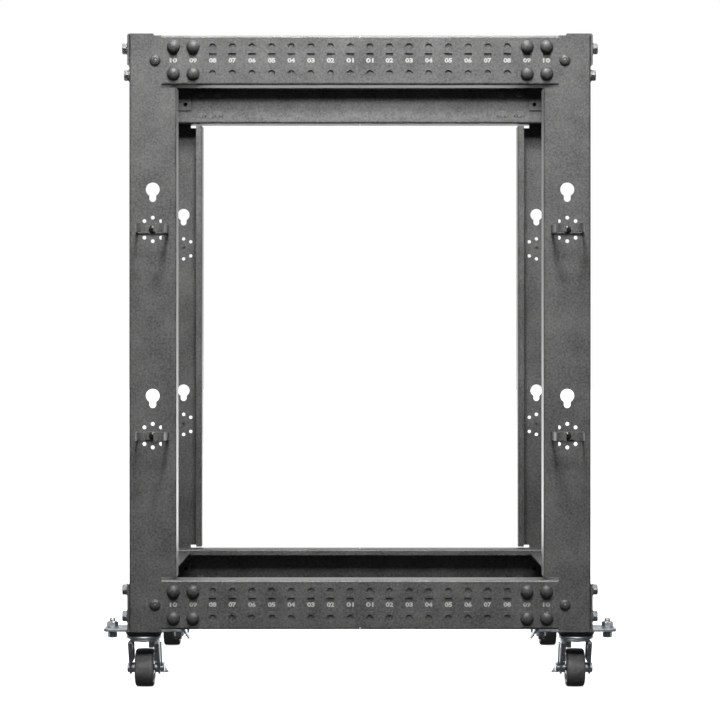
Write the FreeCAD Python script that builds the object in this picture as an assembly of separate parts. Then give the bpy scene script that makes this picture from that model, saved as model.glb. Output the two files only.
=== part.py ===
import FreeCAD, Part
import math
import os

# Four post open frame rack, 15 rack units high, on four braked swivel casters.
# Millimetres. X runs through the rack's depth, Y across its width, Z up.
# The origin is on the floor, under the middle of the rack.
# A piece is drawn once, in the corner where x and y are positive, and mirrored to its places.

# ---- overall sizes ----
rack_depth = 597.0        # over the two mounting faces, at the shortest setting
rack_width = 520.0        # over the outer faces of the two side frames
frame_base = 76.0         # floor to the underside of the frame

# ---- sheet ----
sheet = 2.0               # posts, side beams and splices
plate = 2.5               # cross-beams and corner brackets
bend = 3.0                # outside radius of a folded edge
fit_gap = 0.3             # between sheets that nest

# ---- rack units ----
unit = 44.45
units = 15
unit_holes = (6.35, 22.225, 38.1)
unit_start = 64.7         # frame underside to the first unit
unit_end = 42.55          # last unit to the top of the cross-beams
square_hole = 9.5
rail_hole_inset = 27.45   # side frame's outer face to the line of square holes

# ---- posts ----
post_web = 61.0
mount_flange = 35.0
inner_flange = 38.0
lip = 9.0

# ---- side beams, two halves to each ----
beam_height = 64.0
beam_flange = 38.0
bottom_beam_lift = 3.4    # frame underside to the beam's underside
seam = 0.4                # between the two halves at mid-depth
corner_web = 41.6         # width of post web beside the end of a beam's web
relief_slot = 3.5         # open slot between a beam's flange and the post's inner flange

# ---- holes that set the depth ----
column_pitch = 25.4
first_column = 12.7       # mid-depth to the first column
column_edge = 12.7        # last column to the end of the beam's web, at least
row_offset = 17.3         # from the beam's centre line
adjust_hole = 9.0
window_width = 9.8
window_height = 18.0

# ---- splices ----
splice_flange = 30.0
splice_end = 13.0         # last hole column to the splice's end

# ---- corner fixings ----
corner_bolt_hole = 9.0
corner_bolt_inset = 11.0  # side frame's outer face to the bolts in the mounting face
corner_bolt_shift = 1.4   # from the beam's rows towards the middle of the rack's height
side_screw_hole = 6.5
side_screw_inset = 33.5   # mounting face to the screw in the side

# ---- cross-beams ----
top_plate_height = 40.0
top_flange = 33.5
bottom_plate_drop = 5.6   # side beam's top to the bottom cross-beam's top
bottom_inner_flange = 45.0
post_gap = 0.5            # end of a cross-beam's inner flange to the side beam's lip

# ---- keyholes and cable rings ----
keyhole = 18.0
keyhole_slot = 9.0
keyhole_length = 25.0
keyhole_rise = 51.6       # ring centre to the round end of the keyhole above it
ring_first = 254.0        # frame underside to the lower ring
ring_units = 6            # rack units between rings
ring_rows = ("lower", "upper")
ring_width = 43.0
ring_reach = 48.0
ring_front = 35.0
ring_height = 11.0
ring_strip = 2.0
ring_mouth = 10.4
ring_corner = 11.0
ring_screw_hole = 5.5
pattern_radius = 15.2     # circle of small holes round a cable ring
pattern_hole = 5.0
pattern_places = 8

# ---- casters ----
caster_x_inset = 17.0     # mounting face to the swivel axis
caster_y_inset = 24.0     # side frame's outer face to the swivel axis
caster_trail = 18.0
wheel_radius = 25.0
wheel_width = 24.0
wheel_dish = 3.0
wheel_shoulder = 2.5
hub_radius = 9.0
tyre_depth = 6.0
axle_radius = 4.0
pin_gap = 0.3             # round an axle or a king pin
mount_inner = 72.5        # mounting face to the inner end of the caster's mounting plate
mount_outer = 34.0        # mounting face to its outer end
mount_depth = 52.0        # across the rack
mount_corner = 8.0
mount_hole = 9.0
mount_hole_edge = 10.0    # ends of the mounting plate to its holes
cup_radius = 23.0
cup_flare = 4.5           # how much wider the cup is at its top
cup_height = 6.0
crown_radius = 22.5
crown_height = 6.5
king_pin_radius = 5.0
king_pin_head = 8.0
king_pin_head_height = 2.5
leg_thickness = 2.5
leg_gap = 5.5             # wheel to fork leg
collar_radius = 6.5       # spacers on the axle between the legs and the wheel
collar_gap = 0.7
leg_top_width = 30.0
leg_foot_radius = 8.5
leg_foot_start = 150.0    # degrees round the axle, where the leg's long edge meets its foot
nut_radius = 7.0
nut_height = 3.0
lever_gap = 1.0
lever_sheet = 2.0
lever_arm = 30.0
lever_fall = 8.0          # degrees below level, with the brake off
lever_width = 13.0
pedal_reach = 5.0         # how far the pedal's lower edge stands out from the lever
pedal_width = 16.0

# ---- places worked out from the sizes above ----
half_depth = rack_depth / 2
half_width = rack_width / 2
unit_base = frame_base + unit_start
frame_top = unit_base + units * unit + unit_end
post_top = frame_top - plate
post_inner = half_depth - post_web
post_middle = half_depth - post_web / 2
beam_end = half_depth - corner_web
top_beam_low = post_top - beam_height
bottom_beam_low = frame_base + bottom_beam_lift
columns = int((beam_end - first_column - column_edge) / column_pitch) + 1
column_places = [first_column + n * column_pitch for n in range(columns)]
splice_reach = column_places[-1] + splice_end
ring_levels = [frame_base + ring_first + n * ring_units * unit for n in range(len(ring_rows))]
caster_x = half_depth - caster_x_inset
caster_y = half_width - caster_y_inset
axle_y = caster_y - caster_trail
axle_z = wheel_radius
mount_ends = (half_depth - mount_inner, half_depth + mount_outer)

# There are several hundred small holes, so each is cut with few sides to keep the mesh light.
# The rings' corners and the turned pieces of the casters are many-sided for the same reason.
hole_sides = 6
keyhole_sides = 16
turned_sides = 24
ring_sides = 16
small_sides = 12
nut_sides = 6
through = 20.0            # how far a cutting tool runs past the sheet on each side

sides = [
    ("front_left", -1, 1),
    ("front_right", -1, -1),
    ("rear_left", 1, 1),
    ("rear_right", 1, -1),
]


def vector(x, y, z):
    return FreeCAD.Vector(x, y, z)


def across_x(x):
    """Drawing plane of a section that looks along X: u is y, v is z."""
    return lambda u, v: vector(x, u, v)


def across_y(y):
    """Drawing plane of a section that looks along Y: u is x, v is z."""
    return lambda u, v: vector(u, y, v)


def across_z(z):
    """Drawing plane of a plan: u is x, v is y."""
    return lambda u, v: vector(u, v, z)


def direction(start, end):
    du = end[0] - start[0]
    dv = end[1] - start[1]
    length = math.hypot(du, dv)
    return du / length, dv / length


def rounded_face(points, plane):
    """Flat face inside a closed outline. Each point is (u, v, corner radius)."""
    count = len(points)
    starts = []
    ends = []
    middles = []
    for i, (u, v, radius) in enumerate(points):
        before = direction(points[i - 1], points[i])
        after = direction(points[i], points[(i + 1) % count])
        turn = math.atan2(before[0] * after[1] - before[1] * after[0],
                          before[0] * after[0] + before[1] * after[1])
        cut = radius * math.tan(abs(turn) / 2)
        starts.append((u - before[0] * cut, v - before[1] * cut))
        ends.append((u + after[0] * cut, v + after[1] * cut))
        lean = math.hypot(after[0] - before[0], after[1] - before[1])
        sag = radius / math.cos(turn / 2) - radius
        middles.append((u + (after[0] - before[0]) / lean * sag,
                        v + (after[1] - before[1]) / lean * sag))
    edges = []
    for i in range(count):
        if points[i][2] > 0:
            arc = Part.Arc(plane(*starts[i]), plane(*middles[i]), plane(*ends[i]))
            edges.append(arc.toShape())
        edges.append(Part.makeLine(plane(*ends[i]), plane(*starts[(i + 1) % count])))
    return Part.Face(Part.Wire(edges))


def folded(path, thickness, plane, sweep):
    """Folded sheet: one face follows path, the metal lies on its left, sweep gives its length.

    Each point of the path is (u, v, outside radius of the fold there). The inside of a tight
    fold is sharp.
    """
    steps = [direction(path[i], path[i + 1]) for i in range(len(path) - 1)]
    near = []
    far = []
    for i, (u, v, radius) in enumerate(path):
        before = steps[max(i - 1, 0)]
        after = steps[min(i, len(steps) - 1)]
        turn = before[0] * after[1] - before[1] * after[0]
        spread = 1 + before[0] * after[0] + before[1] * after[1]
        shift_u = -(before[1] + after[1]) / spread * thickness
        shift_v = (before[0] + after[0]) / spread * thickness
        inside = radius - thickness if radius > 2 * thickness else 0
        near.append((u, v, radius if turn > 0 else inside))
        far.append((u + shift_u, v + shift_v, inside if turn > 0 else radius))
    return rounded_face(near + far[::-1], plane).extrude(sweep)


def stepped_corners(path, sides):
    """The path with each rounded corner made of short runs, with the spacing of that many sides."""
    points = [path[0]]
    for i in range(1, len(path) - 1):
        u, v, radius = path[i]
        before = direction(path[i - 1], path[i])
        after = direction(path[i], path[i + 1])
        turn = math.atan2(before[0] * after[1] - before[1] * after[0],
                          before[0] * after[0] + before[1] * after[1])
        runs = max(1, round(abs(turn) / (2 * math.pi) * sides))
        run = 2 * radius * math.sin(abs(turn) / 2 / runs)
        cut = radius * math.tan(abs(turn) / 2)
        u -= before[0] * cut
        v -= before[1] * cut
        points.append((u, v, 0))
        for n in range(runs):
            angle = math.atan2(before[1], before[0]) + turn * (n + 0.5) / runs
            u += run * math.cos(angle)
            v += run * math.sin(angle)
            points.append((u, v, 0))
    points.append(path[-1])
    return points


def block(x_range, y_range, z_range):
    size = [high - low for low, high in (x_range, y_range, z_range)]
    return Part.makeBox(size[0], size[1], size[2], vector(x_range[0], y_range[0], z_range[0]))


def rod(radius, start, end):
    axis = end - start
    return Part.makeCylinder(radius, axis.Length, start, axis)


def polygon(radius, sides, centre, axis, turned_by=0.5):
    """Closed wire of a regular polygon. turned_by is its turn, as a share of one side."""
    helper = vector(0, 0, 1) if abs(axis.z) < 0.5 * axis.Length else vector(1, 0, 0)
    first = axis.cross(helper).normalize()
    second = axis.cross(first).normalize()
    points = []
    for i in range(sides + 1):
        angle = 2 * math.pi * (i + turned_by) / sides
        points.append(centre + first * radius * math.cos(angle) + second * radius * math.sin(angle))
    return Part.makePolygon(points)


def many_sided(radius, sides, start, end):
    """Bar with flat sides; radius is to the middle of a flat."""
    axis = end - start
    wire = polygon(radius / math.cos(math.pi / sides), sides, start, axis)
    return Part.Face(wire).extrude(axis)


def small_hole(width, start, end):
    """Cutting tool of a small hole. Its corners lie on the edge of the round hole of that width."""
    return Part.Face(polygon(width / 2, hole_sides, start, end - start)).extrude(end - start)


def arc_points(u, v, radius, sides, first_angle, last_angle):
    """Corners along an arc, in degrees, with the spacing of a polygon of that many sides."""
    count = max(1, round(abs(last_angle - first_angle) / 360 * sides))
    points = []
    for i in range(count + 1):
        angle = math.radians(first_angle + (last_angle - first_angle) * i / count)
        points.append((u + radius * math.cos(angle), v + radius * math.sin(angle), 0))
    return points


def side_hole(width, x, z, y=half_width):
    return small_hole(width, vector(x, y - through, z), vector(x, y + through, z))


def mirrored(shape, x_side, y_side):
    if x_side < 0:
        shape = shape.mirror(vector(0, 0, 0), vector(1, 0, 0))
    if y_side < 0:
        shape = shape.mirror(vector(0, 0, 0), vector(0, 1, 0))
    return shape


def keep(shape, name):
    shape.exportStep("parts/" + name + ".step")


def keep_in_corners(shape, name):
    for corner, x_side, y_side in sides:
        keep(mirrored(shape, x_side, y_side), name + "_" + corner)


def corner_bolt_levels(beam_low, towards_middle):
    middle = beam_low + beam_height / 2 + towards_middle * corner_bolt_shift
    return middle - row_offset, middle + row_offset


def keyhole_tool(level):
    """Round end above, slot below."""
    slot_half = keyhole_slot / 2
    slot_end = level + keyhole / 2 - keyhole_length + slot_half
    meeting = math.degrees(math.acos(keyhole_slot / keyhole))
    outline = arc_points(post_middle, level, keyhole / 2, keyhole_sides, -meeting, 180 + meeting)
    outline += arc_points(post_middle, slot_end, slot_half, keyhole_sides, 180, 360)
    face = rounded_face(outline, across_y(half_width - through))
    return face.extrude(vector(0, 2 * through, 0))


def ring_pattern(level):
    """Small holes round a cable ring; the two level ones are taken by the ring's own fixing."""
    tools = [side_hole(ring_screw_hole, post_middle, level)]
    for n in range(pattern_places):
        if n % (pattern_places // 2) != 0:
            angle = 2 * math.pi * n / pattern_places
            x = post_middle + pattern_radius * math.cos(angle)
            z = level + pattern_radius * math.sin(angle)
            tools.append(side_hole(pattern_hole, x, z))
    return tools


def post():
    """Lipped channel with its mounting flange outward, cut away where the side beams come in."""
    back = half_width - inner_flange
    path = [
        (half_depth, half_width - mount_flange, 0),
        (half_depth, half_width, bend),
        (post_inner, half_width, bend),
        (post_inner, back, bend),
        (post_inner + lip, back, 0),
    ]
    body = folded(path, sheet, across_z(frame_base), vector(0, 0, post_top - frame_base))
    web_cut = (post_inner - through, beam_end)
    flange_cut = (post_inner - through, half_depth - sheet)
    behind = (back - through, half_width - sheet)
    everywhere = (back - through, half_width + through)
    low_top = bottom_beam_low + beam_height
    cuts = [
        block(web_cut, everywhere, (frame_base - through, low_top + relief_slot)),
        block(web_cut, everywhere, (top_beam_low - relief_slot, post_top + through)),
        block(flange_cut, behind, (frame_base - through, low_top + relief_slot)),
        block(flange_cut, behind, (top_beam_low - relief_slot, post_top + through)),
        block((half_depth - sheet - fit_gap, half_depth + through), behind,
              (frame_base - through, bottom_beam_low + fit_gap)),
    ]
    hole_y = half_width - rail_hole_inset
    half = square_hole / 2
    for n in range(units):
        for height in unit_holes:
            z = unit_base + n * unit + height
            cuts.append(block((half_depth - through, half_depth + through),
                              (hole_y - half, hole_y + half), (z - half, z + half)))
    for level in ring_levels:
        cuts.append(keyhole_tool(level + keyhole_rise))
        cuts += ring_pattern(level)
    bolt_y = half_width - corner_bolt_inset
    for beam_low, towards_middle in ((bottom_beam_low, 1), (top_beam_low, -1)):
        for z in corner_bolt_levels(beam_low, towards_middle):
            cuts.append(small_hole(corner_bolt_hole, vector(half_depth - through, bolt_y, z),
                                   vector(half_depth + through, bolt_y, z)))
        cuts.append(side_hole(side_screw_hole, half_depth - side_screw_inset, beam_low + beam_height / 2))
    return body.cut(cuts)


def side_beam(beam_low, towards_middle):
    """Half of a side beam: a lipped channel whose flanges run on inside the post to its mounting
    flange, with an end plate that takes the corner bolts and a tongue behind the post's web."""
    high = beam_low + beam_height
    middle = beam_low + beam_height / 2
    back = half_width - beam_flange
    path = [
        (back, beam_low + lip, 0),
        (back, beam_low, bend),
        (half_width, beam_low, bend),
        (half_width, high, bend),
        (back, high, bend),
        (back, high - lip, 0),
    ]
    inner_face = half_depth - sheet
    body = folded(path, sheet, across_x(seam / 2), vector(inner_face - seam / 2, 0, 0))
    web_end = block((beam_end, half_depth + through), (half_width - sheet, half_width + through),
                    (beam_low - through, high + through))
    end_plate = block((inner_face - plate, inner_face),
                      (half_width - mount_flange, half_width - sheet),
                      (beam_low + sheet / 2, high - sheet / 2))
    tongue = block((beam_end + fit_gap, inner_face),
                   (half_width - sheet - plate, half_width - sheet),
                   (middle - row_offset / 2, middle + row_offset / 2))
    body = body.cut(web_end).fuse([end_plate, tongue])
    cuts = []
    for x in column_places:
        for z in (middle - row_offset, middle + row_offset):
            cuts.append(side_hole(adjust_hole, x, z))
        cuts.append(block((x - window_width / 2, x + window_width / 2),
                          (half_width - through, half_width + through),
                          (middle - window_height / 2, middle + window_height / 2)))
    bolt_y = half_width - corner_bolt_inset
    for z in corner_bolt_levels(beam_low, towards_middle):
        cuts.append(small_hole(corner_bolt_hole, vector(inner_face - through, bolt_y, z),
                               vector(inner_face + through, bolt_y, z)))
    cuts.append(side_hole(side_screw_hole, half_depth - side_screw_inset, middle))
    if beam_low == bottom_beam_low:
        cuts.append(mount_bolt_tool(1))
    return body.cut(cuts)


def mount_bolt_tool(side):
    """Hole of the bolt that holds the inner end of a caster's mounting plate under the side beam."""
    x = side * (mount_ends[0] + mount_hole_edge)
    return small_hole(mount_hole, vector(x, caster_y, frame_base - through),
                      vector(x, caster_y, frame_base + through))


def splice(beam_low):
    """Channel inside a side beam that joins its two halves by their last two columns of holes."""
    face = half_width - sheet
    low = beam_low + sheet + fit_gap
    high = beam_low + beam_height - sheet - fit_gap
    back = face - splice_flange
    path = [
        (back, low, 0),
        (face, low, bend),
        (face, high, bend),
        (back, high, 0),
    ]
    body = folded(path, sheet, across_x(-splice_reach), vector(2 * splice_reach, 0, 0))
    middle = beam_low + beam_height / 2
    cuts = []
    for x in column_places[-2:]:
        for z in (middle - row_offset, middle + row_offset):
            cuts.append(side_hole(adjust_hole, x, z))
            cuts.append(side_hole(adjust_hole, -x, z))
    if beam_low == bottom_beam_low:
        cuts += [mount_bolt_tool(1), mount_bolt_tool(-1)]
    return body.cut(cuts)


def corner_bolt_tools(beam_low, towards_middle, levels):
    """Corner bolt holes of a cross-beam, at both ends of it."""
    tools = []
    for z in [corner_bolt_levels(beam_low, towards_middle)[n] for n in levels]:
        for side in (-1, 1):
            y = side * (half_width - corner_bolt_inset)
            tools.append(small_hole(corner_bolt_hole, vector(half_depth - through, y, z),
                                    vector(half_depth + through, y, z)))
    return tools


def top_cross_beam():
    """Angle over the tops of two posts."""
    face = half_depth + plate
    path = [
        (face, frame_top - top_plate_height, 0),
        (face, frame_top, bend),
        (face - top_flange, frame_top, 0),
    ]
    body = folded(path, plate, across_y(-half_width), vector(0, rack_width, 0))
    return body.cut(corner_bolt_tools(top_beam_low, -1, [1]))


def bottom_cross_beam():
    """Angle on the feet of two posts, with its flange inward at the top, between the posts."""
    face = half_depth
    rise = bottom_beam_low + beam_height - bottom_plate_drop - plate
    path = [
        (face + plate - bottom_inner_flange, rise, 0),
        (face, rise, bend),
        (face, bottom_beam_low, 0),
    ]
    body = folded(path, plate, across_y(-half_width), vector(0, rack_width, 0))
    edge = half_width - max(mount_flange, beam_flange) - post_gap
    cuts = corner_bolt_tools(bottom_beam_low, 1, [0, 1])
    for low, high in ((-half_width - through, -edge), (edge, half_width + through)):
        cuts.append(block((post_inner, half_depth), (low, high), (rise - through, rise + through)))
    return body.cut(cuts)


def cable_ring(level):
    """Open loop of flat strip that stands out from the post's web."""
    half = ring_width / 2
    front = half_width + ring_reach
    low = level - ring_height / 2
    path = [
        (post_middle - ring_mouth / 2, front, 0),
        (post_middle - ring_front / 2, front, ring_corner),
        (post_middle - half, half_width, bend),
        (post_middle + half, half_width, bend),
        (post_middle + ring_front / 2, front, ring_corner),
        (post_middle + ring_mouth / 2, front, 0),
    ]
    body = folded(stepped_corners(path, ring_sides), ring_strip, across_z(low), vector(0, 0, ring_height))
    return body.cut(small_hole(ring_screw_hole, vector(post_middle, half_width - through, level),
                               vector(post_middle, half_width + through, level)))


def caster_mount():
    """Plate in the foot of the post, with the flared fixed cup and the king pin of the swivel."""
    outer_side = half_width - sheet
    inner_side = outer_side - mount_depth
    corners = [
        (mount_ends[0], inner_side, mount_corner),
        (mount_ends[1], inner_side, mount_corner),
        (mount_ends[1], outer_side, mount_corner),
        (mount_ends[0], outer_side, mount_corner),
    ]
    mounting_plate = rounded_face(corners, across_z(frame_base)).extrude(vector(0, 0, bottom_beam_lift))
    outer_hole = mount_ends[1] - mount_hole_edge
    cup_low = frame_base - cup_height
    pin_low = cup_low - pin_gap - crown_height - pin_gap
    head_low = pin_low - king_pin_head_height

    def on_swivel(height):
        return vector(caster_x, caster_y, height)

    cup = many_sided_turning([
        (cup_low, cup_radius),
        (cup_low + cup_height / 3, cup_radius + cup_flare / 5),
        (cup_low + cup_height * 2 / 3, cup_radius + cup_flare / 2),
        (frame_base, cup_radius + cup_flare),
    ], turned_sides, vector(0, 0, 1))
    cup.translate(on_swivel(0))
    body = mounting_plate.fuse([
        cup,
        many_sided(king_pin_radius, small_sides, on_swivel(pin_low), on_swivel(frame_base)),
        many_sided(king_pin_head, small_sides, on_swivel(head_low), on_swivel(pin_low)),
    ])
    return body.cut([
        mount_bolt_tool(1),
        rod(mount_hole / 2, vector(outer_hole, caster_y, frame_base - through),
            vector(outer_hole, caster_y, frame_base + through)),
    ])


def fork_leg(start):
    """Leg that leans from the crown to the axle, with a round foot."""
    crown_low = frame_base - cup_height - pin_gap - crown_height
    half_top = leg_top_width / 2
    outline = [(caster_y + half_top, crown_low, 0), (caster_y - half_top, crown_low, 0)]
    outline += arc_points(axle_y, axle_z, leg_foot_radius, small_sides, leg_foot_start, 360)
    return rounded_face(outline, across_x(start)).extrude(vector(leg_thickness, 0, 0))


def caster_fork():
    """Crown under the fixed cup, two legs, and the axle with its head and nut."""
    crown_top = frame_base - cup_height - pin_gap
    low = vector(caster_x, caster_y, crown_top - crown_height)
    high = vector(caster_x, caster_y, crown_top)
    crown = many_sided(crown_radius, turned_sides, low, high)
    crown = crown.cut(many_sided(king_pin_radius + pin_gap, small_sides, low, high))
    inner = wheel_width / 2 + leg_gap
    legs = [fork_leg(caster_x + inner), fork_leg(caster_x - inner - leg_thickness)]
    outer_end = caster_x + inner + leg_thickness
    lever_end = caster_x - inner - leg_thickness - lever_gap - lever_sheet - lever_gap

    def on_axle(x):
        return vector(x, axle_y, axle_z)

    axle = many_sided(axle_radius, small_sides, on_axle(lever_end), on_axle(outer_end))
    collar_start = wheel_width / 2 + collar_gap
    collars = []
    for side in (-1, 1):
        collars.append(many_sided(collar_radius, small_sides, on_axle(caster_x + side * collar_start),
                                  on_axle(caster_x + side * inner)))
    head = many_sided(nut_radius, nut_sides, on_axle(lever_end - nut_height / 2), on_axle(lever_end))
    nut = many_sided(nut_radius, nut_sides, on_axle(outer_end), on_axle(outer_end + nut_height))
    return crown.fuse(legs + collars + [axle, head, nut])


def many_sided_turning(stations, sides, axis):
    """Solid turned with flat sides. Each station is (place on the axis, radius to a flat's middle)."""
    corner = 1 / math.cos(math.pi / sides)
    rings = [polygon(radius * corner, sides, axis * place, axis) for place, radius in stations]
    corners = [[vertex.Point for vertex in ring.OrderedVertexes] for ring in rings]
    faces = [Part.Face(rings[0]), Part.Face(rings[-1])]
    for near, far in zip(corners, corners[1:]):
        for i in range(sides):
            after = (i + 1) % sides
            faces.append(Part.Face(Part.makePolygon([near[i], near[after], far[after], far[i], near[i]])))
    solid = Part.makeSolid(Part.makeShell(faces))
    if solid.Volume < 0:
        solid.reverse()
    return solid


def caster_wheel():
    """Tread with shoulders, dished on both faces round a hub on the axle."""
    half = wheel_width / 2
    wheel = many_sided_turning([
        (-half, wheel_radius - wheel_shoulder),
        (-half + wheel_shoulder, wheel_radius),
        (half - wheel_shoulder, wheel_radius),
        (half, wheel_radius - wheel_shoulder),
    ], turned_sides, vector(1, 0, 0))
    rim = wheel_radius - tyre_depth
    cuts = [many_sided(axle_radius + pin_gap, small_sides, vector(-half, 0, 0), vector(half, 0, 0))]
    for start, end in ((-half, -half + wheel_dish), (half - wheel_dish, half)):
        dish = many_sided(rim, turned_sides, vector(start, 0, 0), vector(end, 0, 0))
        cuts.append(dish.cut(many_sided(hub_radius, small_sides, vector(start, 0, 0), vector(end, 0, 0))))
    wheel = wheel.cut(cuts)
    wheel.translate(vector(caster_x, axle_y, axle_z))
    return wheel


def brake_lever():
    """Lever that turns on the axle beside the fork's inner leg. Its pedal flares out at the foot."""
    face = caster_x - wheel_width / 2 - leg_gap - leg_thickness - lever_gap
    half = lever_width / 2
    outline = [(-lever_arm, half, 0), (-lever_arm, -half, 0)]
    outline += arc_points(0, 0, half, small_sides, -90, 90)
    arm = rounded_face(outline, across_x(0)).extrude(vector(-lever_sheet, 0, 0))
    eye = many_sided(axle_radius + pin_gap, small_sides, vector(-through, 0, 0), vector(through, 0, 0))
    section = [
        (0, half, 0),
        (-lever_sheet, half, 0),
        (-lever_sheet - pedal_reach, -half, 0),
        (-pedal_reach, -half, 0),
    ]
    start = -lever_arm - pedal_width / 2
    pedal = rounded_face(section, across_y(start)).extrude(vector(0, pedal_width, 0))
    lever = arm.cut(eye).fuse(pedal)
    lever.rotate(vector(0, 0, 0), vector(1, 0, 0), lever_fall)
    lever.translate(vector(face, axle_y, axle_z))
    return lever


def build():
    os.makedirs("parts", exist_ok=True)
    keep_in_corners(post(), "post")
    keep_in_corners(side_beam(bottom_beam_low, 1), "bottom_beam")
    keep_in_corners(side_beam(top_beam_low, -1), "top_beam")
    for level_name, beam_low in (("bottom", bottom_beam_low), ("top", top_beam_low)):
        for side_name, y_side in (("left", 1), ("right", -1)):
            keep(mirrored(splice(beam_low), 1, y_side), level_name + "_splice_" + side_name)
    for end_name, x_side in (("front", -1), ("rear", 1)):
        keep(mirrored(top_cross_beam(), x_side, 1), "top_cross_beam_" + end_name)
        keep(mirrored(bottom_cross_beam(), x_side, 1), "bottom_cross_beam_" + end_name)
    for row, level in zip(ring_rows, ring_levels):
        keep_in_corners(cable_ring(level), row + "_cable_ring")
    keep_in_corners(caster_mount(), "caster_mount")
    keep_in_corners(caster_fork(), "caster_fork")
    keep_in_corners(caster_wheel(), "caster_wheel")
    keep_in_corners(brake_lever(), "brake_lever")


build()
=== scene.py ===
import math
import bmesh
import bpy
from mathutils import Matrix, Vector


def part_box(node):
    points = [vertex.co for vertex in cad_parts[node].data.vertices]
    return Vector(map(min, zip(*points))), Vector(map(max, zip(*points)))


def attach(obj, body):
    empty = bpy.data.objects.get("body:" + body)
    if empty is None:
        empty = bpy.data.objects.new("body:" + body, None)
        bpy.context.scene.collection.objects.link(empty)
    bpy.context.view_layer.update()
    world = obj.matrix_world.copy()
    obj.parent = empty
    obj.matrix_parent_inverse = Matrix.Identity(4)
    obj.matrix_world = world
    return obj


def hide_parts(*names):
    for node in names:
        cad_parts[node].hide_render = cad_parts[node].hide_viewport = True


# Looks of a four post open frame rack: round punched holes, finishes, fasteners,
# printed depth numbers, bent cable rings and the turned and pressed parts of the casters.
# Lengths below are millimetres and are turned to metres where a mesh is made.
# X runs through the rack's depth, Y across its width, Z up.

MM = 0.001

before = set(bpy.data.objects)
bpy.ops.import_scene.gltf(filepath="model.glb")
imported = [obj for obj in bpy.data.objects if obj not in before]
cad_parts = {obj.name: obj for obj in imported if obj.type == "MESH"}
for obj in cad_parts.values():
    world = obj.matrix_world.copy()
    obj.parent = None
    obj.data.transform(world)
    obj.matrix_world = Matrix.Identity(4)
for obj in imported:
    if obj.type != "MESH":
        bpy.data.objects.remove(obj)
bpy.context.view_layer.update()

# ---- places read from the frame ----
CORNERS = [
    ("front_left", -1, 1),
    ("front_right", -1, -1),
    ("rear_left", 1, 1),
    ("rear_right", 1, -1),
]


def box_mm(node):
    low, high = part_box(node)
    return low / MM, high / MM


post_low, post_high = box_mm("post_rear_left")
mounting_face = post_high.x
side_face = post_high.y
post_middle = (post_low.x + post_high.x) / 2
splice_face = box_mm("top_splice_left")[1].y
bottom_splice_floor = box_mm("bottom_splice_left")[0].z
wheel_low, wheel_high = box_mm("caster_wheel_rear_left")
fork_inner_face = box_mm("caster_fork_rear_left")[0].x
mount_low, mount_high = box_mm("caster_mount_rear_left")


def level_of(node):
    low, high = box_mm(node)
    return (low.z + high.z) / 2


beam_levels = {row: level_of(row + "_beam_rear_left") for row in ("bottom", "top")}
ring_levels = {row: level_of(row + "_cable_ring_rear_left") for row in ("lower", "upper")}

# ---- sizes of punched holes ----
SHEET = 2.0
COLUMNS = 10
COLUMN_PITCH = 25.4
FIRST_COLUMN = 12.7
ROW_OFFSET = 17.3
ADJUST_HOLE = 9.0
CORNER_BOLT_INSET = 11.0
CORNER_BOLT_SHIFT = 1.4
CORNER_BOLT_HOLE = 9.0
SIDE_SCREW_INSET = 33.5
SIDE_SCREW_HOLE = 6.5
KEYHOLE = 18.0
KEYHOLE_SLOT = 9.0
KEYHOLE_LENGTH = 25.0
KEYHOLE_RISE = 51.6
PATTERN_RADIUS = 15.2
PATTERN_HOLE = 5.0
PATTERN_PLACES = 8
RING_SCREW_HOLE = 5.5
PLATE_BOLT_HOLE = 9.0
PLATE_BOLT_EDGE = 10.0
SWIVEL_INSET = 24.0
PUNCH_REACH = 20.0
PUNCH_SIDES = 40
PUNCH_EASE = 1.002
WELD = 0.002

column_places = [FIRST_COLUMN + n * COLUMN_PITCH for n in range(COLUMNS)]
bolted_columns = column_places[-2:]
caster_x = (wheel_low.x + wheel_high.x) / 2
axle_y = (wheel_low.y + wheel_high.y) / 2
axle_z = (wheel_low.z + wheel_high.z) / 2
wheel_radius = (wheel_high.z - wheel_low.z) / 2
wheel_width = wheel_high.x - wheel_low.x
swivel_y = side_face - SWIVEL_INSET
plate_bolts = (mount_low.x + PLATE_BOLT_EDGE, mount_high.x - PLATE_BOLT_EDGE)


# ---- colours and shader nodes ----

def linear(hex_colour):
    """An sRGB hex colour as linear red, green, blue and alpha."""
    values = [int(hex_colour[i:i + 2], 16) / 255 for i in (1, 3, 5)]
    return [v / 12.92 if v <= 0.04045 else ((v + 0.055) / 1.055) ** 2.4 for v in values] + [1.0]


def add_node(tree, kind, inputs=None, stops=(), **settings):
    """Adds a node. An input gets a value, an output that feeds it, or a node whose first output
    feeds it. A stop of a colour ramp gets its position and its hex colour."""
    made = tree.nodes.new("ShaderNode" + kind)
    for name, value in settings.items():
        setattr(made, name, value)
    for socket, value in (inputs or {}).items():
        if isinstance(value, bpy.types.Node):
            value = value.outputs[0]
        if isinstance(value, bpy.types.NodeSocket):
            tree.links.new(value, made.inputs[socket])
        else:
            made.inputs[socket].default_value = value
    for number, (position, hex_colour) in enumerate(stops):
        made.color_ramp.elements[number].position = position
        made.color_ramp.elements[number].color = linear(hex_colour)
    return made


def start_material(name):
    """An empty material, and the place on the piece that its patterns are drawn from."""
    material = bpy.data.materials.new(name)
    material.use_nodes = True
    tree = material.node_tree
    tree.nodes.clear()
    return material, tree, add_node(tree, "TexCoord").outputs["Object"]


def finish_material(material, shader_inputs):
    """Ends a material with its shader. An input is a plain value or a pattern's output."""
    tree = material.node_tree
    shader = add_node(tree, "BsdfPrincipled", shader_inputs)
    add_node(tree, "OutputMaterial", {"Surface": shader})
    return material


def per_metre(size_mm):
    """Noise scale that gives grains of about that size."""
    return 1 / (size_mm * MM)


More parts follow.
